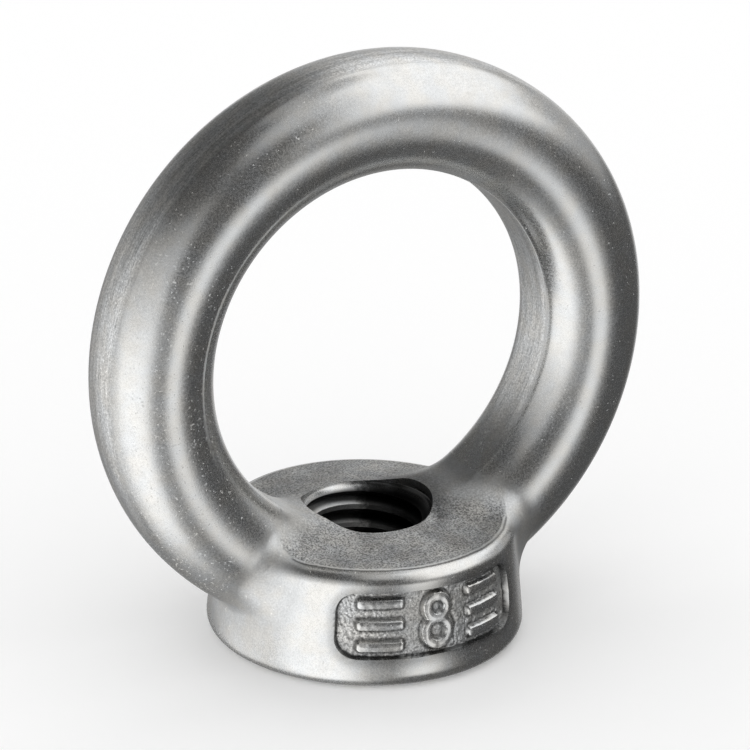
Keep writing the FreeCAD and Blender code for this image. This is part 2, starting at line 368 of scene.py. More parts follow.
def point_outwards(piece):
    """Turn a closed mesh's faces outwards: if its volume, added up from them, is below zero, flip them."""
    mesh = piece.data
    mesh.calc_loop_triangles()
    corners = np.zeros(len(mesh.loop_triangles) * 3, np.int32)
    mesh.loop_triangles.foreach_get("vertices", corners)
    places = np.zeros(len(mesh.vertices) * 3)
    mesh.vertices.foreach_get("co", places)
    a, b, c = places.reshape(-1, 3)[corners.reshape(-1, 3)].transpose(1, 0, 2)
    volume = np.einsum("ij,ij->i", a, np.cross(b, c)).sum() / 6
    if volume < 0:
        mesh.flip_normals()
    print("%s: %d faces, %.1f cubic millimetres" % (piece.name, len(mesh.polygons), abs(volume) / MM ** 3))
    return piece


# %% The casting
rows, columns = ray_angles.shape
nut = point_outwards(make_piece("eye_nut_body", skin_grid, grid_faces(rows, columns, close_rows=True)))

# %% [markdown]
# ## The tapped hole
#
# The hole is drilled, countersunk at both ends and tapped, so it is taken out of the casting the same way:
# first a turned cutter with the two countersinks, then a cutter that runs round the hole as a helix. Its
# section is the sixty degree profile of a metric thread, 8 millimetres across with a pitch of 1.25. Both
# cutters end outside the metal, so the thread runs out through the countersinks as a real one does. The
# upper countersink ends in a short straight edge, and the rim of that is worn round.

# %% The hole's cutter
HOLE_SEGMENTS = 160
MOUTH_LAND = 0.1
MOUTH_WEAR = 0.05
OVERRUN = 1.0


def turned_cutter(name, profile, segments):
    """A closed turned shape: each point of the profile, a radius and a height, is carried round the Z axis,
    and one many-sided face closes each end."""
    turn = np.radians(np.arange(segments) * 360 / segments)
    across, up = np.transpose(profile)
    points = np.stack([np.outer(across, np.cos(turn)), np.outer(across, np.sin(turn)),
                       np.outer(up, np.ones(segments))], axis=-1).reshape(-1, 3)
    faces = grid_faces(len(profile), segments).tolist()
    faces.append(list(range(segments)))
    faces.append(list(range(len(points) - segments, len(points)))[::-1])
    return point_outwards(make_piece(name, points, faces))


countersink = MOUTH_RADIUS - CREST_RADIUS
cone_top = MOUTH_HEIGHT - MOUTH_LAND
hole = turned_cutter("hole_cutter", [
    (MOUTH_RADIUS + OVERRUN, -OVERRUN),
    (CREST_RADIUS, countersink),
    (CREST_RADIUS, cone_top - countersink),
    (MOUTH_RADIUS - 3 * MOUTH_WEAR, cone_top - 3 * MOUTH_WEAR),
    (MOUTH_RADIUS - 2 * MOUTH_WEAR, cone_top - 1.6 * MOUTH_WEAR),
    (MOUTH_RADIUS - 1.2 * MOUTH_WEAR, cone_top),
    (MOUTH_RADIUS - 0.6 * MOUTH_WEAR, MOUTH_HEIGHT),
    (MOUTH_RADIUS, MOUTH_HEIGHT + MOUTH_WEAR),
    (MOUTH_RADIUS, MOUTH_HEIGHT + OVERRUN),
], HOLE_SEGMENTS)

# %% The thread's cutter
PITCH = 1.25
ROOT_RADIUS = 4.0
ROOT_FLAT = PITCH / 16
INNER_RADIUS = 3.12
FLANK_ANGLE = math.radians(30)
FIRST_GROOVE = 7.17
GROOVES_BELOW = 7
THREAD_TURNS = 8
THREAD_SEGMENTS = 120


def thread_cutter(name, low, turns, segments):
    """The groove of a right-hand thread: at each turn angle t the four corners of its section stand at their
    radius, at the height low plus pitch times t over a full turn, plus their place on the profile."""
    turn = np.linspace(0, 2 * math.pi * turns, round(turns * segments) + 1)
    open_half = ROOT_FLAT + (ROOT_RADIUS - INNER_RADIUS) * math.tan(FLANK_ANGLE)
    section = np.array([(INNER_RADIUS, -open_half), (ROOT_RADIUS, -ROOT_FLAT),
                        (ROOT_RADIUS, ROOT_FLAT), (INNER_RADIUS, open_half)])
    across, up = section[:, 0], section[:, 1]
    points = np.stack([np.outer(np.cos(turn), across), np.outer(np.sin(turn), across),
                       low + PITCH * turn[:, None] / (2 * math.pi) + up], axis=-1).reshape(-1, 3)
    faces = grid_faces(len(turn), len(section)).tolist()
    faces.append([0, 1, 2, 3])
    faces.append([len(points) - 1 - corner for corner in range(4)])
    return point_outwards(make_piece(name, points, faces))


thread_low = FIRST_GROOVE - PITCH / 4 - GROOVES_BELOW * PITCH
thread = thread_cutter("thread_cutter", thread_low, THREAD_TURNS, THREAD_SEGMENTS)

# %% [markdown]
# ## The panel on the front of the collar
#
# On the real part the panel is cast in: a sunk field with a rough floor, soft walls, and marks that stand up
# from the floor to the level of the collar. Here the marks are plain: a figure 8, the thread's size in
# millimetres, between two sets of three level bars. The field is worked out as one height for each place on
# the collar: distances to the outline, to the two loops of the figure and to the bars are turned into
# slopes, and seeded noise roughens the floor. The cutter's inner side follows that height.

# %% Distances from the raised marks
STROKE = 0.66
LOWER_LOOP, UPPER_LOOP = 1.16, 1.03
BAR_SPACING = 1.36
BAR_ANGLE = 18.0
BAR_PLACE = 22.5
BAR_CORNER = 0.25


def loop_distance(across, up, radius):
    """Distance from a round loop of one stroke's width, whose outer edge has that radius."""
    return np.abs(np.hypot(across, up) - radius + STROKE / 2) - STROKE / 2


def panel_distances(around, up):
    """Distances from the panel's outline and from the nearest raised mark, at an angle round the collar and
    a height. The marks are two round loops and three bars on each side."""
    across, above = laid_flat(around, up)
    marks = np.minimum(loop_distance(across, above + UPPER_LOOP - STROKE / 2, LOWER_LOOP),
                       loop_distance(across, above - LOWER_LOOP + STROKE / 2, UPPER_LOOP))
    for side in (-1, 1):
        for level in (-1, 0, 1):
            bar = rounded_box(across - laid_flat(side * BAR_PLACE, 0)[0], above - level * BAR_SPACING,
                              laid_flat(BAR_ANGLE / 2, 0)[0], STROKE / 2, BAR_CORNER)
            marks = np.minimum(marks, bar)
    return panel_outline(around, up), marks


print("the figure 8 is %.2f mm high" % (2 * (LOWER_LOOP + UPPER_LOOP) - STROKE))

# %% The panel's height field
PANEL_DEPTH = 0.4
WALL_SLOPE = 0.11
STROKE_SLOPE = 0.17
DOME_SHARE = 0.25
TOP_DROP = SHOULDER_DROP + 0.01
WALL_CLIMB = OVERRUN / 8
GRAIN_STEP = 0.05
OUTLINE_WAVER, OUTLINE_GRAIN = 0.02, 0.35
FLOOR_ROUGHNESS, FLOOR_GRAIN, FLOOR_LUMP = 0.015, 0.055, 0.13
TOP_ROUGHNESS, TOP_GRAIN = 0.006, 0.12


def smooth_noise(shape, grain, seed):
    """Seeded noise of one grain size: random numbers, blurred by a Gaussian curve in the frequency domain."""
    values = np.random.default_rng(seed).standard_normal(shape)
    along, up = np.fft.fftfreq(shape[0], GRAIN_STEP), np.fft.fftfreq(shape[1], GRAIN_STEP)
    blur = np.exp(-2 * (math.pi * grain) ** 2 * (along[:, None] ** 2 + up[None, :] ** 2))
    noise = np.real(np.fft.ifft2(np.fft.fft2(values) * blur))
    return noise / noise.std()


def panel_height(around, up):
    """Height of the panel above the collar's side, below zero in the sunk field: the floor outside the
    marks, their domed tops inside them, soft slopes between, and a wall that climbs past the skin."""
    outline, marks = panel_distances(around, up)
    outline = outline + OUTLINE_WAVER * smooth_noise(around.shape, OUTLINE_GRAIN, 6)
    raised = 1 - slope(-STROKE_SLOPE / 2, STROKE_SLOPE / 2, marks)
    raised = (1 - DOME_SHARE) * raised + DOME_SHARE * np.sqrt(np.clip(-2 * marks / STROKE, 0, 1))
    lumps = smooth_noise(around.shape, FLOOR_GRAIN, 3) + 0.5 * smooth_noise(around.shape, FLOOR_LUMP, 4)
    floor = -PANEL_DEPTH + FLOOR_ROUGHNESS * lumps
    tops = -TOP_DROP + TOP_ROUGHNESS * smooth_noise(around.shape, TOP_GRAIN, 5)
    wall = slope(-WALL_SLOPE, WALL_SLOPE / 2, outline)
    return (floor + (tops - floor) * raised) * (1 - wall) + WALL_CLIMB * wall


# %% The panel's cutter
SIDE_MARGIN_ANGLE = 3
END_MARGIN = 0.4


def panel_cutter(name):
    """A closed block bent round the collar: its inner side at the collar's radius plus the panel's height,
    its outer side well outside, and its four edges joined."""
    half_angle = PANEL_ANGLE / 2 + SIDE_MARGIN_ANGLE
    around = np.arange(-half_angle, half_angle, GRAIN_STEP / math.radians(FOOT_RADIUS))
    up = np.arange(PANEL_LOW - END_MARGIN, PANEL_HIGH + END_MARGIN, GRAIN_STEP)
    around, up = np.meshgrid(around, up, indexing="ij")
    turn = np.radians(around)
    layers = []
    for reach in (side_radius(up) + panel_height(around, up), side_radius(up) + OVERRUN):
        layers.append(np.stack([reach * np.sin(turn), -reach * np.cos(turn), up], axis=-1).reshape(-1, 3))
    count = len(layers[0])
    inner = grid_faces(*around.shape, close_columns=False)
    index = np.arange(count).reshape(around.shape)
    edge = np.concatenate([index[:-1, 0], index[-1, :-1], index[:0:-1, -1], index[0, :0:-1]])
    after = np.roll(edge, -1)
    sides = np.stack([edge, after, after + count, edge + count], axis=1)
    faces = np.concatenate([inner[:, ::-1], inner + count, sides])
    return point_outwards(make_piece(name, np.concatenate(layers), faces))


panel = panel_cutter("panel_cutter")

# %% [markdown]
# ## Taking the cutters out
#
# Blender's Boolean does what the drill, the tap and the mould do. It needs closed meshes whose faces point
# outwards, as the casting and the cutters are. Each cut is applied at once, so one plain mesh is left, shaded
# smooth with only true corners sharp, such as the thread's. The frame is then told what it stands for.

# %% Take the cutters out of the casting
SHARP_ANGLE = math.radians(28)


def cut(piece, cutter):
    """Take one closed mesh out of another with Blender's Boolean, apply it, and drop the cutter."""
    modifier = piece.modifiers.new(cutter.name, "BOOLEAN")
    modifier.object = cutter
    modifier.operation = "DIFFERENCE"
    modifier.solver = "MANIFOLD"
    view = bpy.context.view_layer.depsgraph
    view.update()
    mesh = bpy.data.meshes.new_from_object(piece.evaluated_get(view))
    piece.modifiers.clear()
    old, piece.data = piece.data, mesh
    bpy.data.meshes.remove(old)
    bpy.data.objects.remove(cutter)
    print("%s now has %d faces" % (piece.name, len(mesh.polygons)))


for cutter in (hole, thread, panel):
    cut(nut, cutter)
nut.data.name = "eye_nut_body"
nut.data.shade_smooth()
nut.data.set_sharp_from_angle(angle=SHARP_ANGLE)

# %% Say what the piece stands for
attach(nut, "root")
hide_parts("eye_nut")

# %% [markdown]
# ## Camera
#
# The camera stands where the photographer's did: in front and to the left, looking down a little, with a
# long lens, because the two legs of the eye hardly differ in size.

# %% The camera
AZIMUTH, ELEVATION, ROLL = -28.53, 21.99, 1.23
DISTANCE = 277.0
TARGET_HEIGHT = 16.0
FOCAL_PIXELS = 4505.0
MIDDLE_X, MIDDLE_Y = 369.24, 385.64
FRAME_PIXELS = 750.0
NEAREST_SEEN = 10.0

azimuth, elevation, roll = (math.radians(value) for value in (AZIMUTH, ELEVATION, ROLL))
back = Vector((math.sin(azimuth) * math.cos(elevation), -math.cos(azimuth) * math.cos(elevation),
               math.sin(elevation)))
right = Vector((math.cos(azimuth), math.sin(azimuth), 0))
upward = back.cross(right)
turned_right = right * math.cos(roll) + upward * math.sin(roll)
turned_up = upward * math.cos(roll) - right * math.sin(roll)
lens = bpy.data.cameras.new("camera")
lens.lens = FOCAL_PIXELS / FRAME_PIXELS * lens.sensor_width
lens.shift_x = (FRAME_PIXELS / 2 - MIDDLE_X) / FRAME_PIXELS
lens.shift_y = (MIDDLE_Y - FRAME_PIXELS / 2) / FRAME_PIXELS
lens.clip_start = NEAREST_SEEN * MM
camera = bpy.data.objects.new("camera", lens)
bpy.context.scene.collection.objects.link(camera)
place = Matrix((turned_right, turned_up, back)).transposed().to_4x4()
place.translation = (Vector((0, 0, TARGET_HEIGHT)) + back * DISTANCE) * MM
camera.matrix_world = place
bpy.context.scene.camera = camera
print("the lens is %.0f mm long, for a sensor %.0f mm wide" % (lens.lens, lens.sensor_width))

# %% [markdown]
# ## Where each finish lies
#
# The nut has one metal but several finishes: the satin of the tumbled casting, the grain of the ground
# bands, the matt top of the collar, the rough and darker floor of the panel, and the dark thread, dark from
# dirt and painted shade together. Painted shade also lies at the foot of the panel's wall and marks. Each
# has a mask, a number from 0 to 1 for every vertex, worked out from the same formulas as the shape, so the
# finishes meet exactly where the forms do. A painted image would be another way, but it would blur here.


# %% Measure every vertex
def store_mask(mesh, name, values):
    """Keep one number per vertex as an attribute that the material can read."""
    mesh.attributes.new(name, "FLOAT", "POINT").data.foreach_set("value", values.astype(np.float32))
    print("%s covers %.0f%% of the vertices" % (name, 100 * values.mean()))


def soft_line(value, middle, width):
    """A soft line: 1 at the middle, and a Gaussian curve of that width beside it."""
    return np.exp(-((value - middle) / width) ** 2)


places = np.zeros(len(nut.data.vertices) * 3)
nut.data.vertices.foreach_get("co", places)
x, y, z = places.reshape(-1, 3).T / MM
radius = np.hypot(x, y)
around = np.degrees(np.arctan2(x, -y))
turn = np.arctan2(x, z - EYE_HEIGHT)
along = np.degrees(np.abs(np.arctan2(x, EYE_HEIGHT - z)))
out = np.hypot(x, z - EYE_HEIGHT) - EYE_RADIUS
print("%d vertices, from %.1f to %.1f mm high" % (len(z), z.min(), z.max()))

# %% [markdown]
# ## The ground bands
#
# A grinding belt ran along the outside and the inside of the eye, down to where the collar stopped it. It
# left streaks and a darker line where the band meets the satin, and on the upper left two edges are rubbed
# pale. The streaks need coordinates that follow the ring: across the band, out from it and along it, the
# last one shrunk, so that a noise is drawn out into streaks.

# %% Masks of the ground bands
BAND_OUT = 3
BAND_FADE = (BAND_HALF_WIDTH - 0.25, BAND_HALF_WIDTH + 0.2)
INNER_GROUND, OUTER_GROUND = (30, 66), (50, 62)
INNER_EDGE_SEEN, OUTER_EDGE_SEEN = (40, 66), (56, 70)
EDGE_LINE_WIDTH = 0.14
WORN_SEEN = (76, 108)
WORN_LEFT_FROM, WORN_LEFT_TO = (-118, -84), (-40, -12)
WORN_FLANK = (2.5, 2.8)
STREAK_SHRINK = 0.04

band = (1 - slope(*BAND_FADE, np.abs(y))) * (np.abs(out) > BAND_OUT)
ground = band * np.where(out < 0, slope(*INNER_GROUND, along), slope(*OUTER_GROUND, along))
store_mask(nut.data, "ground", ground)
edge_line = soft_line(np.abs(y), BAND_HALF_WIDTH, EDGE_LINE_WIDTH) * (np.abs(out) > BAND_OUT)
edge_seen = np.where(out < 0, slope(*INNER_EDGE_SEEN, along), slope(*OUTER_EDGE_SEEN, along))
store_mask(nut.data, "ground_edge", edge_line * edge_seen)
upper_left = slope(*WORN_LEFT_FROM, np.degrees(turn)) * (1 - slope(*WORN_LEFT_TO, np.degrees(turn)))
worn_edge = edge_line * slope(*WORN_SEEN, along) + upper_left * slope(*WORN_FLANK, -y)
store_mask(nut.data, "worn_edge", worn_edge * (out < -0.5))
grind_place = np.stack([y, out, STREAK_SHRINK * turn * (EYE_RADIUS + out)], axis=1)
nut.data.attributes.new("grind_place", "FLOAT_VECTOR", "POINT").data.foreach_set(
    "vector", grind_place.astype(np.float32).ravel())

# %% [markdown]
# ## The top, the panel and the corners
#
# The collar's top is matt, out to its rim and up to the legs of the eye. The panel's floor is rough. Shade
# is painted dark at the foot of its wall and of the marks, and faintly beside the wall. Tumbling stones don't
# reach into the corner between the eye and the collar, so it shines less.

# %% Masks of the top, the panel, its painted shade and the corners
BESIDE_EYE = (-0.4, 0.6)
TOP_FROM, TOP_TO = (7.2, 7.45), (8.3, 10)
TOP_RIM = (8.5, 8.75)
FRONT_ANGLE, FRONT_RADIUS, FRONT_HEIGHT = 60, 8.4, 7
FLOOR_EDGE, FLOOR_AT_MARK = (-0.16, -0.04), (-0.04, 0.12)
WALL_FOOT, MARK_FOOT, FOOT_WIDTH = -0.08, 0.11, 0.085
MARK_SHADE_SHARE = 0.8
BESIDE_WALL, BESIDE_SHADE = (-0.05, 0.75), 0.34
CORNER_REACH = (0.3, 2.6)

flat_top = slope(*BESIDE_EYE, section_distance(out, y)) * slope(*TOP_FROM, z) * (1 - slope(*TOP_RIM, radius))
flat_top = flat_top * (1 - slope(*TOP_TO, z))
store_mask(nut.data, "matt_top", flat_top * (radius > MOUTH_RADIUS - MOUTH_WEAR))
outline, marks = panel_distances(around, z)
on_front = (np.abs(around) < FRONT_ANGLE) * (radius > FRONT_RADIUS) * (z < FRONT_HEIGHT)
rough_floor = on_front * (1 - slope(*FLOOR_EDGE, outline)) * slope(*FLOOR_AT_MARK, marks)
store_mask(nut.data, "rough_floor", rough_floor)
# Painted shade: dark lines at the foot of the panel's wall and of the marks, and a faint band beside the
# wall.
foot_of_wall = soft_line(outline, WALL_FOOT, FOOT_WIDTH)
foot_of_mark = soft_line(marks, MARK_FOOT, FOOT_WIDTH) * (outline < -0.1)
beside_wall = BESIDE_SHADE * (1 - slope(*BESIDE_WALL, outline)) * (outline > -0.02)
painted_crevice_shade = np.maximum(np.maximum(foot_of_wall, MARK_SHADE_SHARE * foot_of_mark), beside_wall)
store_mask(nut.data, "painted_crevice_shade", on_front * painted_crevice_shade)
from_both = np.maximum(section_distance(out, y), collar_distance(x, y, z))
store_mask(nut.data, "corner", (1 - slope(*CORNER_REACH, from_both)) * (radius > MOUTH_RADIUS + 0.2))

# %% [markdown]
# ## Shared effects
#
# Three effects are shared by all the finishes, so each is a node group: the grain of a tumbled surface, the
# soft blotches of a casting, and the small bright and dark specks. All of them read Object coordinates,
# which are real metres on the part, so a scale of 9000 means about nine bumps to a millimetre.


# %% Helpers that place nodes
def new_group(name, inputs, outputs):
    """A shader node group with number sockets, and its input and output nodes."""
    group = bpy.data.node_groups.new(name, "ShaderNodeTree")
    for title, default in inputs:
        socket = group.interface.new_socket(title, in_out="INPUT", socket_type="NodeSocketFloat")
        socket.default_value = default
    for title in outputs:
        group.interface.new_socket(title, in_out="OUTPUT", socket_type="NodeSocketFloat")
    return group, group.nodes.new("NodeGroupInput"), group.nodes.new("NodeGroupOutput")


def connect(value, socket):
    """Link a node's output to a socket, or set the socket to a plain number or colour."""
    if isinstance(value, bpy.types.NodeSocket):
        socket.id_data.links.new(value, socket)
    else:
        socket.default_value = value


def math_node(operation, first, second=0.0, third=0.0):
    """One Math node, in the tree of the sockets that it works on, and its output."""
    tree = next(value.id_data for value in (first, second, third) if isinstance(value, bpy.types.NodeSocket))
    node = tree.nodes.new("ShaderNodeMath")
    node.operation = operation
    for value, socket in zip((first, second, third), node.inputs):
        connect(value, socket)
    return node.outputs[0]


def multiply(product, *others):
    """The product of two or more numbers, with a Multiply node for each after the first."""
    for other in others:
        product = math_node("MULTIPLY", product, other)
    return product


def noise_node(tree, scale, detail=2.0, roughness=0.5, place=None):
    """A Noise Texture on Object coordinates, or on the place given, and its value."""
    noise = tree.nodes.new("ShaderNodeTexNoise")
    connect(place or tree.nodes.new("ShaderNodeTexCoord").outputs["Object"], noise.inputs["Vector"])
    for name, value in (("Scale", scale), ("Detail", detail), ("Roughness", roughness)):
        connect(value, noise.inputs[name])
    return noise.outputs["Fac"]


def range_node(value, low, high, start=0.0, end=1.0):
    """A smooth Map Range node: low to high becomes start to end."""
    node = value.id_data.nodes.new("ShaderNodeMapRange")
    node.interpolation_type = "SMOOTHSTEP"
    names = ("Value", "From Min", "From Max", "To Min", "To Max")
    for name, given in zip(names, (value, low, high, start, end)):
        connect(given, node.inputs[name])
    return node.outputs["Result"]


def blend(factor, first, second):
    """A mix of two numbers by a factor."""
    node = factor.id_data.nodes.new("ShaderNodeMix")
    for value, socket in zip((factor, first, second), (node.inputs[0], node.inputs[2], node.inputs[3])):
        connect(value, socket)
    return node.outputs[0]


def count_nodes(owner):
    """Print how many nodes a group or a material has by now."""
    print("%s has %d nodes" % (owner.name, len(getattr(owner, "node_tree", owner).nodes)))


# %% The grain of a tumbled surface
NOISE_SPAN = (0.3, 0.7)
COARSE_SCALE, COARSE_SHARE = 0.3, 0.6

grain, given, put_out = new_group("tumbled_grain", [("Fineness", 9000.0), ("Depth", 1.0)], ["Height", "Tone"])
fine = noise_node(grain, given.outputs["Fineness"], 2.0, 0.6)
coarse = noise_node(grain, multiply(given.outputs["Fineness"], COARSE_SCALE), 3.0, 0.6)
both = math_node("MULTIPLY_ADD", coarse, COARSE_SHARE, fine)
connect(multiply(both, given.outputs["Depth"]), put_out.inputs["Height"])
connect(range_node(fine, *NOISE_SPAN), put_out.inputs["Tone"])
count_nodes(grain)

# %% The blotches of a casting
blotch, given, put_out = new_group("cast_blotches", [("Scale", 900.0)], ["Tone"])
cloudy = noise_node(blotch, given.outputs["Scale"], 4.0, 0.62)
connect(range_node(cloudy, *NOISE_SPAN), put_out.inputs["Tone"])
count_nodes(blotch)

# %% Bright and dark specks
BRIGHT_SOFTNESS, DARK_SOFTNESS = 0.04, 0.06

speck, given, put_out = new_group("specks", [("Scale", 6000.0), ("Share", 0.7)], ["Bright", "Dark"])
spots = noise_node(speck, given.outputs["Scale"], 1.0, 0.5)
upper = math_node("ADD", given.outputs["Share"], BRIGHT_SOFTNESS)
connect(range_node(spots, given.outputs["Share"], upper), put_out.inputs["Bright"])
lower = math_node("SUBTRACT", 1.0, given.outputs["Share"])
deeper = math_node("SUBTRACT", lower, DARK_SOFTNESS)
connect(range_node(spots, deeper, lower, 1.0, 0.0), put_out.inputs["Dark"])
count_nodes(speck)

# %% [markdown]
# ## The stainless finish
#
# There is one material, because there is one metal. It is fully metallic, so its look lies in three things:
# how much light it gives back, called its tone here, how rough it is, and the bumps of its grain. The cells
# below change the tone for one finish after another, roughly as they came about: cast and tumbled, ground,
# then dirty and worn. Some of the darkening and lightening in the later cells is painted shade and painted
# highlight.


# %% Helpers of the material
def group_node(tree, group, **values):
    """A node that places a group, with numbers or other nodes' outputs for its inputs."""
    node = tree.nodes.new("ShaderNodeGroup")
    node.node_tree = group
    for name, value in values.items():
        connect(value, node.inputs[name])
    return node.outputs


def attribute_node(tree, name, output="Fac"):
    """A mask of the mesh, or a vector, read by name."""
    node = tree.nodes.new("ShaderNodeAttribute")
    node.attribute_name = name
    return node.outputs[output]


def step_node(place, stretch, start=0.0, end=1.0):
    """A smooth step from start to end over a stretch in millimetres of a place in metres."""
    return range_node(place, stretch[0] * MM, stretch[1] * MM, start, end)


def window(place, rise, fall):
    """A mask that rises from 0 to 1 over one stretch of a place and falls back to 0 over another."""
    return multiply(step_node(place, rise), step_node(place, fall, 1.0, 0.0))


def shade(tone, mask, share):
    """The tone, brought to a share of itself where the mask is 1."""
    return multiply(tone, blend(mask, 1.0, share))


# %% The stainless material, and where each point of it lies
steel = bpy.data.materials.new("stainless")
steel.use_nodes = True
tree = steel.node_tree
principled = tree.nodes["Principled BSDF"]
principled.inputs["Metallic"].default_value = 1

position = tree.nodes.new("ShaderNodeSeparateXYZ")
connect(tree.nodes.new("ShaderNodeTexCoord").outputs["Object"], position.inputs[0])
at_x, at_y, at_z = (position.outputs[axis] for axis in "XYZ")
from_axis = math_node("SQRT", math_node("MULTIPLY_ADD", at_x, at_x, multiply(at_y, at_y)))
count_nodes(steel)

# %% The tumbled casting, its grain coarser in patches and low on the left
LEFT_SIDE, LOW_SIDE = (-17, -5), (22, 31)
LEFT_EXTRA, HIGH_SHARE, PATCH_SHARE = 0.75, 0.3, 0.7
FEW_SPECKS, MANY_SPECKS = 0.79, 0.65
SATIN_TONES, GRAIN_TONES = (0.585, 0.625), (0.88, 1.08)
BRIGHT_SHARE, BRIGHT_TONE = 0.7, 0.9
DARK_SHARE, DARK_TONE = 0.15, 0.25

satin = group_node(tree, grain, Fineness=9000.0)
clouds = group_node(tree, blotch, Scale=1100.0)
patches = group_node(tree, blotch, Scale=260.0)
left_side = multiply(step_node(at_x, LEFT_SIDE, LEFT_EXTRA, 0.0), step_node(at_z, LOW_SIDE, 1.0, HIGH_SHARE))
patchy = math_node("MULTIPLY_ADD", patches["Tone"], PATCH_SHARE, left_side)
dots = group_node(tree, speck, Scale=5600.0, Share=blend(patchy, FEW_SPECKS, MANY_SPECKS))
tone = blend(clouds["Tone"], *SATIN_TONES)
tone = multiply(tone, blend(satin["Tone"], *GRAIN_TONES))
tone = blend(multiply(dots["Bright"], BRIGHT_SHARE), tone, BRIGHT_TONE)
tone = blend(multiply(dots["Dark"], DARK_SHARE), tone, DARK_TONE)
count_nodes(steel)

# %% The finish of the ground bands
STREAK_TONES, SCUFF_TONES = (0.88, 1.05), (0.86, 1.2)
SCRATCH_SPAN, SCRATCH_TONES = (0.6, 0.7), (1.0, 0.55)
PIT_SPAN, PIT_TONES = (0.35, 0.63), (0.72, 1.22)

along_ring = attribute_node(tree, "grind_place", "Vector")
on_band = attribute_node(tree, "ground")
streaks = noise_node(tree, 9.0, 3.0, 0.65, along_ring)
scuffs = noise_node(tree, 2.2, 4.0, 0.7, along_ring)
scratches = noise_node(tree, 14.0, 2.0, 0.6, along_ring)
pits = noise_node(tree, 8000.0, 3.0, 0.75)
ground_tone = multiply(range_node(streaks, *NOISE_SPAN, *STREAK_TONES),
                       range_node(scuffs, *NOISE_SPAN, *SCUFF_TONES),
                       range_node(scratches, *SCRATCH_SPAN, *SCRATCH_TONES),
                       range_node(pits, *PIT_SPAN, *PIT_TONES))
tone = shade(tone, on_band, ground_tone)
count_nodes(steel)

# %% The matt top, the floor of the panel and the painted shade in its crevices
TOP_SHADES, TOP_TONES = (0.72, 1.1), (0.26, 0.99)
FLOOR_SPAN, FLOOR_TONES = (0.34, 0.64), (0.55, 1.25)
CREVICE_SHADE_TONE = 0.13

on_top, on_floor = attribute_node(tree, "matt_top"), attribute_node(tree, "rough_floor")
top_tone = multiply(range_node(noise_node(tree, 420.0, 3.0, 0.6), *NOISE_SPAN, *TOP_SHADES),
                    range_node(pits, *PIT_SPAN, *TOP_TONES))
tone = shade(tone, on_top, top_tone)
tone = shade(tone, on_floor, range_node(pits, *FLOOR_SPAN, *FLOOR_TONES))
# Painted shade: the panel's crevices are darkened as if less light reached them.
tone = shade(tone, attribute_node(tree, "painted_crevice_shade"), CREVICE_SHADE_TONE)
count_nodes(steel)

# %% [markdown]
# ## Lines at the edges
#
# A thin line of painted shade, with a line of painted highlight inside it, ends the matt top where its rim
# turns down. Darker lines run along the ground bands, and pale ones where the edges are rubbed. Each line is
# a window on a distance: it rises over one stretch and falls over the next, and a noise added to the
# distance makes it waver.

# %% The painted shade and painted highlight lines round the top
RIM_WAVER = 0.12
RIM_HEIGHTS = ((7.2, 7.3), (7.55, 7.65))
RIM_SHADE_LINE, RIM_SHADE_TONE = ((8.66, 8.72), (8.75, 8.83)), 0.45
RIM_HIGHLIGHT_LINE, RIM_HIGHLIGHT_SHARE, RIM_HIGHLIGHT_TONE = ((8.5, 8.58), (8.62, 8.68)), 0.6, 0.8

rim_place = math_node("MULTIPLY_ADD", noise_node(tree, 900.0, 2.0), RIM_WAVER * MM, from_axis)
# Painted shade and painted highlight: a dark line along the rim's edge and a pale line just inside it.
at_rim = window(at_z, *RIM_HEIGHTS)
tone = shade(tone, multiply(at_rim, window(rim_place, *RIM_SHADE_LINE)), RIM_SHADE_TONE)
tone = blend(multiply(at_rim, window(rim_place, *RIM_HIGHLIGHT_LINE), RIM_HIGHLIGHT_SHARE), tone, RIM_HIGHLIGHT_TONE)
count_nodes(steel)

# %% The lines along the ground bands
EDGE_SPAN, EDGE_SEEN, EDGE_TONE = (0.35, 0.6), (0.35, 1.0), 0.76
EDGE_WAVER = 0.24
WORN_LINE, WORN_TONE = 3.22, 0.85
LINE_SHIFT, LINE_CORE, LINE_REACH = 0.12, 0.02, 0.09

edge_dark = multiply(attribute_node(tree, "ground_edge"), range_node(scuffs, *EDGE_SPAN, *EDGE_SEEN))
tone = shade(tone, edge_dark, EDGE_TONE)
edge_place = math_node("MULTIPLY_ADD", scuffs, EDGE_WAVER * MM, math_node("ABSOLUTE", at_y))
lines = [window(edge_place, (at - LINE_REACH, at - LINE_CORE), (at + LINE_CORE, at + LINE_REACH))
         for at in (BAND_HALF_WIDTH + LINE_SHIFT, WORN_LINE + LINE_SHIFT)]
worn = multiply(attribute_node(tree, "worn_edge"), math_node("MAXIMUM", *lines))
tone = blend(worn, tone, WORN_TONE)
count_nodes(steel)

# %% [markdown]
# ## Inside the hole
#
# Oil and dirt stay in a thread, and little light gets into it. Its grooves are painted nearly black and its
# crests a little darker than the skin, for dirt and painted shade together. The right wall of the hole is
# painted dark as shade, and the top beside it, further right, is darkened less. The border of both is an X
# coordinate with a strong noise added, which makes it ragged.

# %% The hole: dirt and painted shade
HOLE_TOP = (MOUTH_HEIGHT - 0.55, MOUTH_HEIGHT - 0.25)
HOLE_SIDE = (MOUTH_RADIUS, MOUTH_RADIUS + 0.1)
GROOVE_SIDE = (CREST_RADIUS + 0.02, CREST_RADIUS + 0.35)
RAGGED_BORDER = 2.4
RIGHT_SHADE_SIDE = (MOUTH_RADIUS - 0.03, MOUTH_RADIUS + 0.03)
RIGHT_SHADE_TOP = (MOUTH_HEIGHT + 1.5, MOUTH_HEIGHT + 2)
RIGHT_SHADE_FROM, BESIDE_FROM = (2.0, 3.2), (3.4, 4.8)
BESIDE_REACH, BESIDE_TOP = (4.2, 6.0), (9.5, 12.0)
HOLE_DIRT_AND_SHADE_TONES = (0.85, 0.15, 0.12, 0.4)

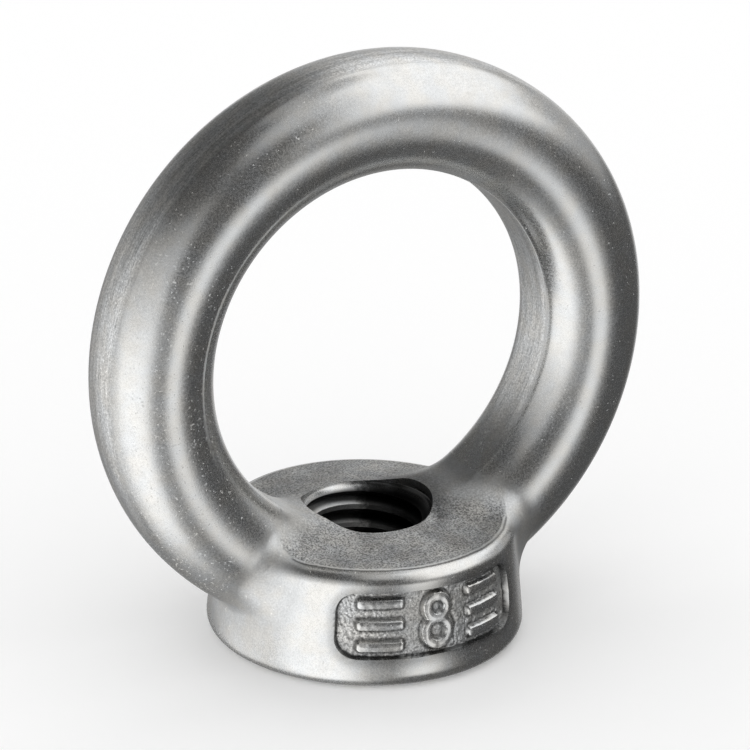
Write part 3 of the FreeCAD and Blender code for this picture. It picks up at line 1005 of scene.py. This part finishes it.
# Dirt and painted shade: the hole's crests are darkened a little and its grooves nearly to black.
in_hole = multiply(step_node(at_z, HOLE_TOP, 1.0, 0.0), step_node(from_axis, HOLE_SIDE, 1.0, 0.0))
in_groove = multiply(in_hole, step_node(from_axis, GROOVE_SIDE))
# Painted shade on the hole's right wall, and a lighter darkening on the top further right, both with ragged
# borders.
ragged_x = math_node("MULTIPLY_ADD", noise_node(tree, 1300.0, 4.0, 0.7), RAGGED_BORDER * MM, at_x)
right_wall_shade = multiply(step_node(from_axis, RIGHT_SHADE_SIDE, 1.0, 0.0),
                    step_node(at_z, RIGHT_SHADE_TOP, 1.0, 0.0), step_node(ragged_x, RIGHT_SHADE_FROM))
near_hole = multiply(step_node(from_axis, BESIDE_REACH, 1.0, 0.0), step_node(at_z, BESIDE_TOP, 1.0, 0.0))
beside_hole = multiply(step_node(ragged_x, BESIDE_FROM), near_hole)
for mask, share in zip((in_hole, in_groove, right_wall_shade, beside_hole), HOLE_DIRT_AND_SHADE_TONES):
    tone = shade(tone, mask, share)
count_nodes(steel)

# %% Colour: the tone, tinted a little warm and cool
TINTS = {"Red": (0.985, 1.015), "Blue": (1.005, 0.962)}

tint_noise = noise_node(tree, 700.0, 2.0)
colour = tree.nodes.new("ShaderNodeCombineColor")
connect(tone, colour.inputs["Green"])
for name, tint in TINTS.items():
    connect(multiply(tone, range_node(tint_noise, *NOISE_SPAN, *tint)), colour.inputs[name])
connect(colour.outputs["Color"], principled.inputs["Base Color"])
count_nodes(steel)

# %% [markdown]
# ## Roughness and grain
#
# Tumbled steel is fairly smooth, so it mirrors the light in broad soft bands. The ground bands, the top and
# the panel's floor are rougher, and the bright specks rougher still: they catch light from all round, so
# they look pale where the metal mirrors something dark. The grain is a bump of about a thousandth of a
# millimetre, deeper in patches and on the left.

# %% Roughness
SATIN_ROUGH, STREAK_ROUGH = (0.2, 0.3), (0.4, 0.28)
SPECK_SHARE, SPECK_ROUGH = 0.8, 0.8
ROUGH_BY_MASK = (0.5, 0.45, 0.7, 0.5, 0.45)

rough = blend(satin["Tone"], *SATIN_ROUGH)
rough = blend(multiply(dots["Bright"], SPECK_SHARE), rough, SPECK_ROUGH)
rough = blend(on_band, rough, range_node(streaks, *NOISE_SPAN, *STREAK_ROUGH))
for mask, finish in zip((attribute_node(tree, "corner"), in_hole, worn, on_top, on_floor), ROUGH_BY_MASK):
    rough = blend(mask, rough, finish)
connect(rough, principled.inputs["Roughness"])
count_nodes(steel)

# %% Grain
GRAIN_HEIGHT = 0.0016
PLAIN_DEPTH, PATCH_DEPTH = 0.7, 2.3
TOP_DEPTH, BAND_DEPTH, STREAK_DEPTH = 2.4, 2.6, 1.2

depth = blend(on_top, blend(patchy, PLAIN_DEPTH, PATCH_DEPTH), TOP_DEPTH)
depth = blend(on_band, depth, BAND_DEPTH)
height = math_node("MULTIPLY_ADD", streaks, multiply(on_band, STREAK_DEPTH),
                   multiply(satin["Height"], depth))
bump = tree.nodes.new("ShaderNodeBump")
connect(height, bump.inputs["Height"])
bump.inputs["Strength"].default_value = 1.0
bump.inputs["Distance"].default_value = GRAIN_HEIGHT * MM
connect(bump.outputs["Normal"], principled.inputs["Normal"])
nut.data.materials.clear()
nut.data.materials.append(steel)
count_nodes(steel)

# %% [markdown]
# ## Light
#
# Bright metal has hardly a colour of its own: it shows what stands round it. A photographer therefore puts
# such a part in a white tent, with lit boxes where a surface should shine and dark cards where it should go
# deep. Here the tent is a dome round the nut, and the boxes and cards are painted on it as brightness, one
# over the other. Only reflections see it, so no view has the tent in the picture.

# %% Backdrop
world = bpy.data.worlds.new("studio")
bpy.context.scene.world = world
world.use_nodes = True
world.node_tree.nodes["Background"].inputs["Color"].default_value = (1, 1, 1, 1)
world.node_tree.nodes["Background"].inputs["Strength"].default_value = 1

# %% Boxes and cards in the tent, each with its azimuths, elevations, brightness and softness
TENT_CLOTH = 0.35
TENT_CARDS = {
    "pale cloth on the left": ((-170, -5), (-85, 36), 0.95, 0.6),
    "lit box below left": ((-102, -21), (-78, 10), 1.6, 0.6),
    "dark card above left": ((-195, -6), (28, 84), 0.1, 0.25),
    "dark card behind left": ((-220, -112), (6, 66), 0.12, 0.6),
    "lit patch behind left": ((-158, -84), (-50, 6), 1.1, 0.6),
    "grey card below behind": ((-205, -108), (-95, -42), 0.35, 0.45),
    "dark card in front": ((-36, 14), (-10, 50), 0.12, 0.45),
    "dark card below in front": ((-12, 150), (-100, -38), 0.15, 0.3),
    "dark card below right": ((30, 132), (-60, 14), 0.11, 0.35),
    "lit box above right": ((2, 170), (8, 84), 1.5, 0.35),
    "grey card on the right": ((62, 176), (-4, 32), 0.52, 0.5),
    "lit box behind right": ((116, 178), (-28, 14), 0.85, 0.5),
    "grey card low behind": ((138, 202), (-66, -20), 0.28, 0.5),
    "lit strip in front": ((-6, 34), (-46, 4), 1.3, 0.7),
    "grey card overhead": ((-180, 180), (70, 110), 0.45, 0.35),
    "grey card above in front": ((-46, 30), (36, 92), 0.66, 0.7),
}


def tent_light(azimuth, elevation):
    """Brightness of the tent in a direction, in degrees (azimuth 0 in front, 90 on the right): cloth, then
    each card laid over it, its cover a smooth step that falls to nothing at its four edges."""
    light = np.full(np.broadcast(azimuth, elevation).shape, TENT_CLOTH)
    for azimuths, elevations, brightness, softness in TENT_CARDS.values():
        turn = (azimuth - np.mean(azimuths) + 180) % 360 - 180
        beside = 1 - np.abs(turn) / (np.ptp(azimuths) / 2)
        above = 1 - np.abs(elevation - np.mean(elevations)) / (np.ptp(elevations) / 2)
        if np.ptp(azimuths) >= 360:
            beside = 1 + 0 * turn
        cover = slope(0, softness, beside) * slope(0, softness, above)
        light = light + (brightness - light) * cover
    return light


print("the tent has %d boxes and cards" % len(TENT_CARDS))

# %% The tent's surface
TENT_RADIUS = 400.0
TENT_STEP = 2

tent_turn = np.arange(-180, 180, TENT_STEP)[:, None]
tent_rise = np.arange(-90 + TENT_STEP, 90, TENT_STEP)[None, :]
level = np.cos(np.radians(tent_rise))
tent_points = np.stack([np.sin(np.radians(tent_turn)) * level, -np.cos(np.radians(tent_turn)) * level,
                        np.sin(np.radians(tent_rise)) + 0 * tent_turn], axis=-1).reshape(-1, 3) * TENT_RADIUS
tent_points = np.vstack([tent_points, [(0, 0, -TENT_RADIUS), (0, 0, TENT_RADIUS)]]) + (0, 0, EYE_HEIGHT)
turns, levels = tent_turn.size, tent_rise.size
tent_faces = grid_faces(turns, levels, close_rows=True, close_columns=False).tolist()
for end, pole in ((0, turns * levels), (levels - 1, turns * levels + 1)):
    ring = np.arange(turns) * levels + end
    tent_faces.extend(np.stack([ring, np.roll(ring, -1), np.full(turns, pole)], axis=1).tolist())
tent = make_piece("tent", tent_points, tent_faces)
tent_values = np.append(tent_light(tent_turn, tent_rise).ravel(), [tent_light(0, -90), tent_light(0, 90)])
store_mask(tent.data, "light", tent_values)
tent.data.shade_smooth()

# %% The tent's cloth, seen by reflections only
cloth = bpy.data.materials.new("tent")
cloth.use_nodes = True
tree = cloth.node_tree
tree.nodes.clear()
glow = tree.nodes.new("ShaderNodeEmission")
end_node = tree.nodes.new("ShaderNodeOutputMaterial")
connect(attribute_node(tree, "light"), glow.inputs["Strength"])
connect(glow.outputs[0], end_node.inputs["Surface"])
cloth.cycles.emission_sampling = "NONE"
tent.data.materials.append(cloth)
for ray in ("camera", "diffuse", "transmission", "volume_scatter", "shadow"):
    setattr(tent, "visible_" + ray, False)

# %% [markdown]
# ## Floor
#
# The nut stands on white paper, on which its soft shadow falls. The paper lies a hundredth of a millimetre
# below the seat, so that the two flat faces don't flicker through each other in a view from below, and
# reflections leave it out, because the tent already says what the metal mirrors from there.

# %% The paper
FLOOR_REACH = 3000.0
FLOOR_DROP = 0.01
corners = np.array([(-1, -1, 0), (1, -1, 0), (1, 1, 0), (-1, 1, 0)]) * FLOOR_REACH
floor = make_piece("floor", corners - (0, 0, FLOOR_DROP), [(0, 1, 2, 3)])
paper = bpy.data.materials.new("paper")
paper.use_nodes = True
paper_shader = paper.node_tree.nodes["Principled BSDF"]
paper_shader.inputs["Base Color"].default_value = (1, 1, 1, 1)
paper_shader.inputs["Roughness"].default_value = 1
paper_shader.inputs["Specular IOR Level"].default_value = 0
floor.data.materials.append(paper)
floor.visible_glossy = False

# %% [markdown]
# ## Colour view
#
# The colours are shown as they are worked out, without a film look.

# %% The colour view
bpy.context.scene.view_settings.view_transform = "Standard"
